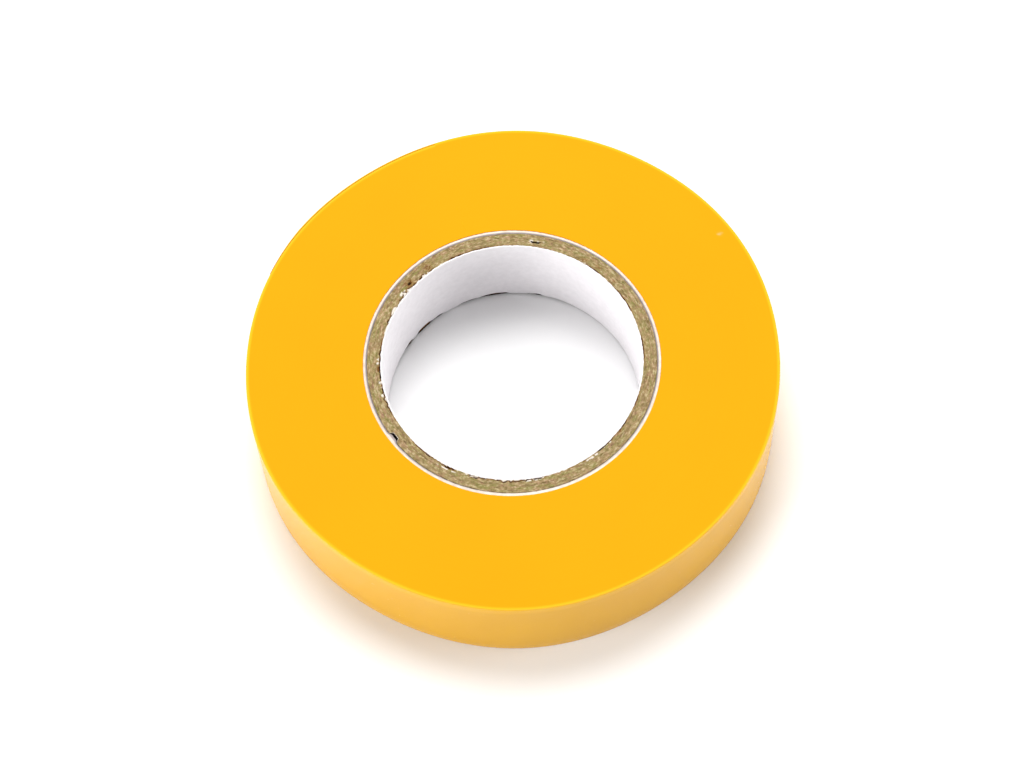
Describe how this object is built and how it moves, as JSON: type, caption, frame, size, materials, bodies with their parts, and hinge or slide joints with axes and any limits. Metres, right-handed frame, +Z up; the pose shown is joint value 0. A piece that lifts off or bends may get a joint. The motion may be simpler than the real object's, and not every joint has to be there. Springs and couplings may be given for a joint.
{
  "type": "electrical tape roll",
  "caption": "Narrow roll of yellow-orange adhesive tape on a spiral-wound chipboard core, lying flat, with a free end that peels off the rim.",
  "frame": {"origin": "on the surface the roll lies on, under the middle of the bore", "axes": "+Z up along the roll's axis, -Y towards the viewer of the reference view, +X to the viewer's right; the tape's free end is at the back left"},
  "size_m": [0.0519, 0.052, 0.01],
  "materials": {
    "tape": "satin",
    "chipboard": "matte",
    "white_paper": "matte"
  },
  "bodies": {
    "roll": {"core_liner": "white_paper", "core_inner_ply": "chipboard", "core_outer_ply": "chipboard", "core_wrap": "white_paper", "tape_winding": "tape"},
    "tail": {"tape_tail": "tape"}
  },
  "joints": [
    {"name": "tail_peel", "type": "hinge", "parent": "roll", "child": "tail", "pos_m": [-0.00674, 0.02514, 0.005], "axis": [0, 0, -1], "range_deg": [0, 120]}
  ]
}
